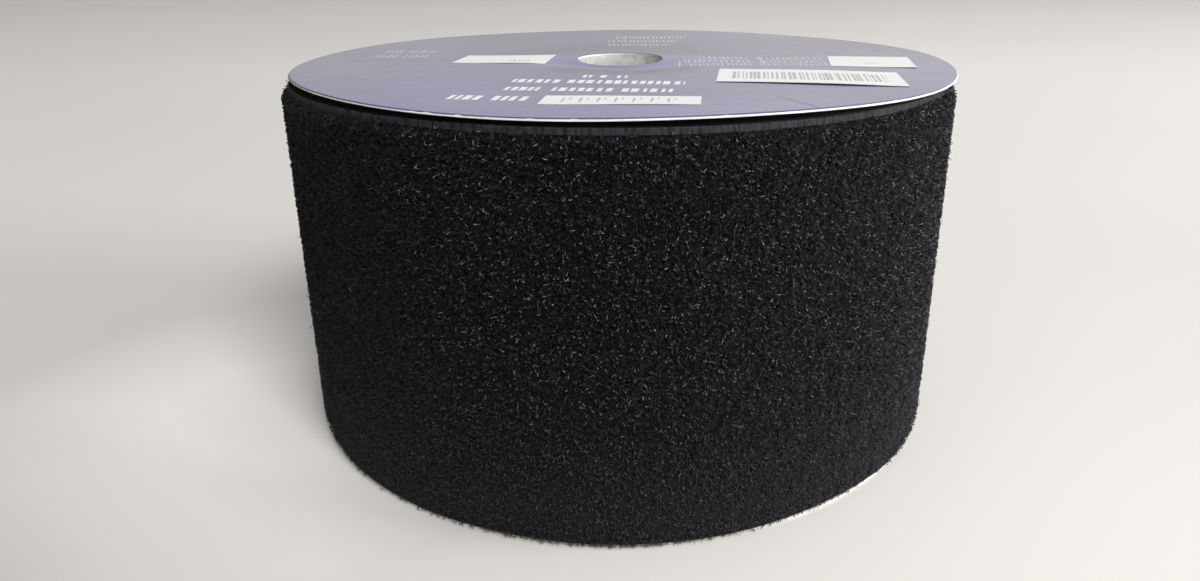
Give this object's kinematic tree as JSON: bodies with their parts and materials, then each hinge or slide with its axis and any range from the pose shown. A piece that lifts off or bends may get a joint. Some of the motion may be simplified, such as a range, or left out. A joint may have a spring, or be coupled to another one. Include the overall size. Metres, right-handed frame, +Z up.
{
  "type": "hook and loop tape roll",
  "caption": "Wide black loop tape wound on a paper core between round board discs, with a free end that lifts off the roll.",
  "frame": {"origin": "middle of the footprint, on the surface that the roll stands on", "axes": "+Z up along the core, from the lower disc to the printed upper disc; the picture looks along +Y, and the free end of the tape is at the back, towards +Y"},
  "size_m": [0.1898, 0.1908, 0.1036],
  "materials": {
    "loop_tape": "dull black loops on a woven ground",
    "board": "matt pale board with a cut edge",
    "printed_facing": "dark blue violet print under a glossy film",
    "label_paper": "matt white label paper",
    "core_paper": "matt spiral wound paper",
    "glue": "set glue",
    "start_tape": "creped paper tape",
    "clear_film": "clear adhesive film"
  },
  "bodies": {
    "roll": {"lower_board": "board", "lower_glue_ring": "glue", "core_tube": "core_paper", "start_strip": "start_tape", "tape_inner_turns": "loop_tape", "tape_outer_turns": "loop_tape", "upper_glue_ring": "glue", "upper_board": "board", "upper_facing": "printed_facing", "width_label": "label_paper", "batch_label": "label_paper", "stock_label": "label_paper", "shade_label": "label_paper"},
    "loose_end": {"tape_free_end": "loop_tape", "end_tab": "clear_film"}
  },
  "joints": [
    {"name": "free_end_lift", "type": "hinge", "parent": "roll", "child": "loose_end", "pos_m": [-0.01856, 0.09307, 0.0509], "axis": [0, 0, 1], "range_deg": [0, 75]}
  ]
}
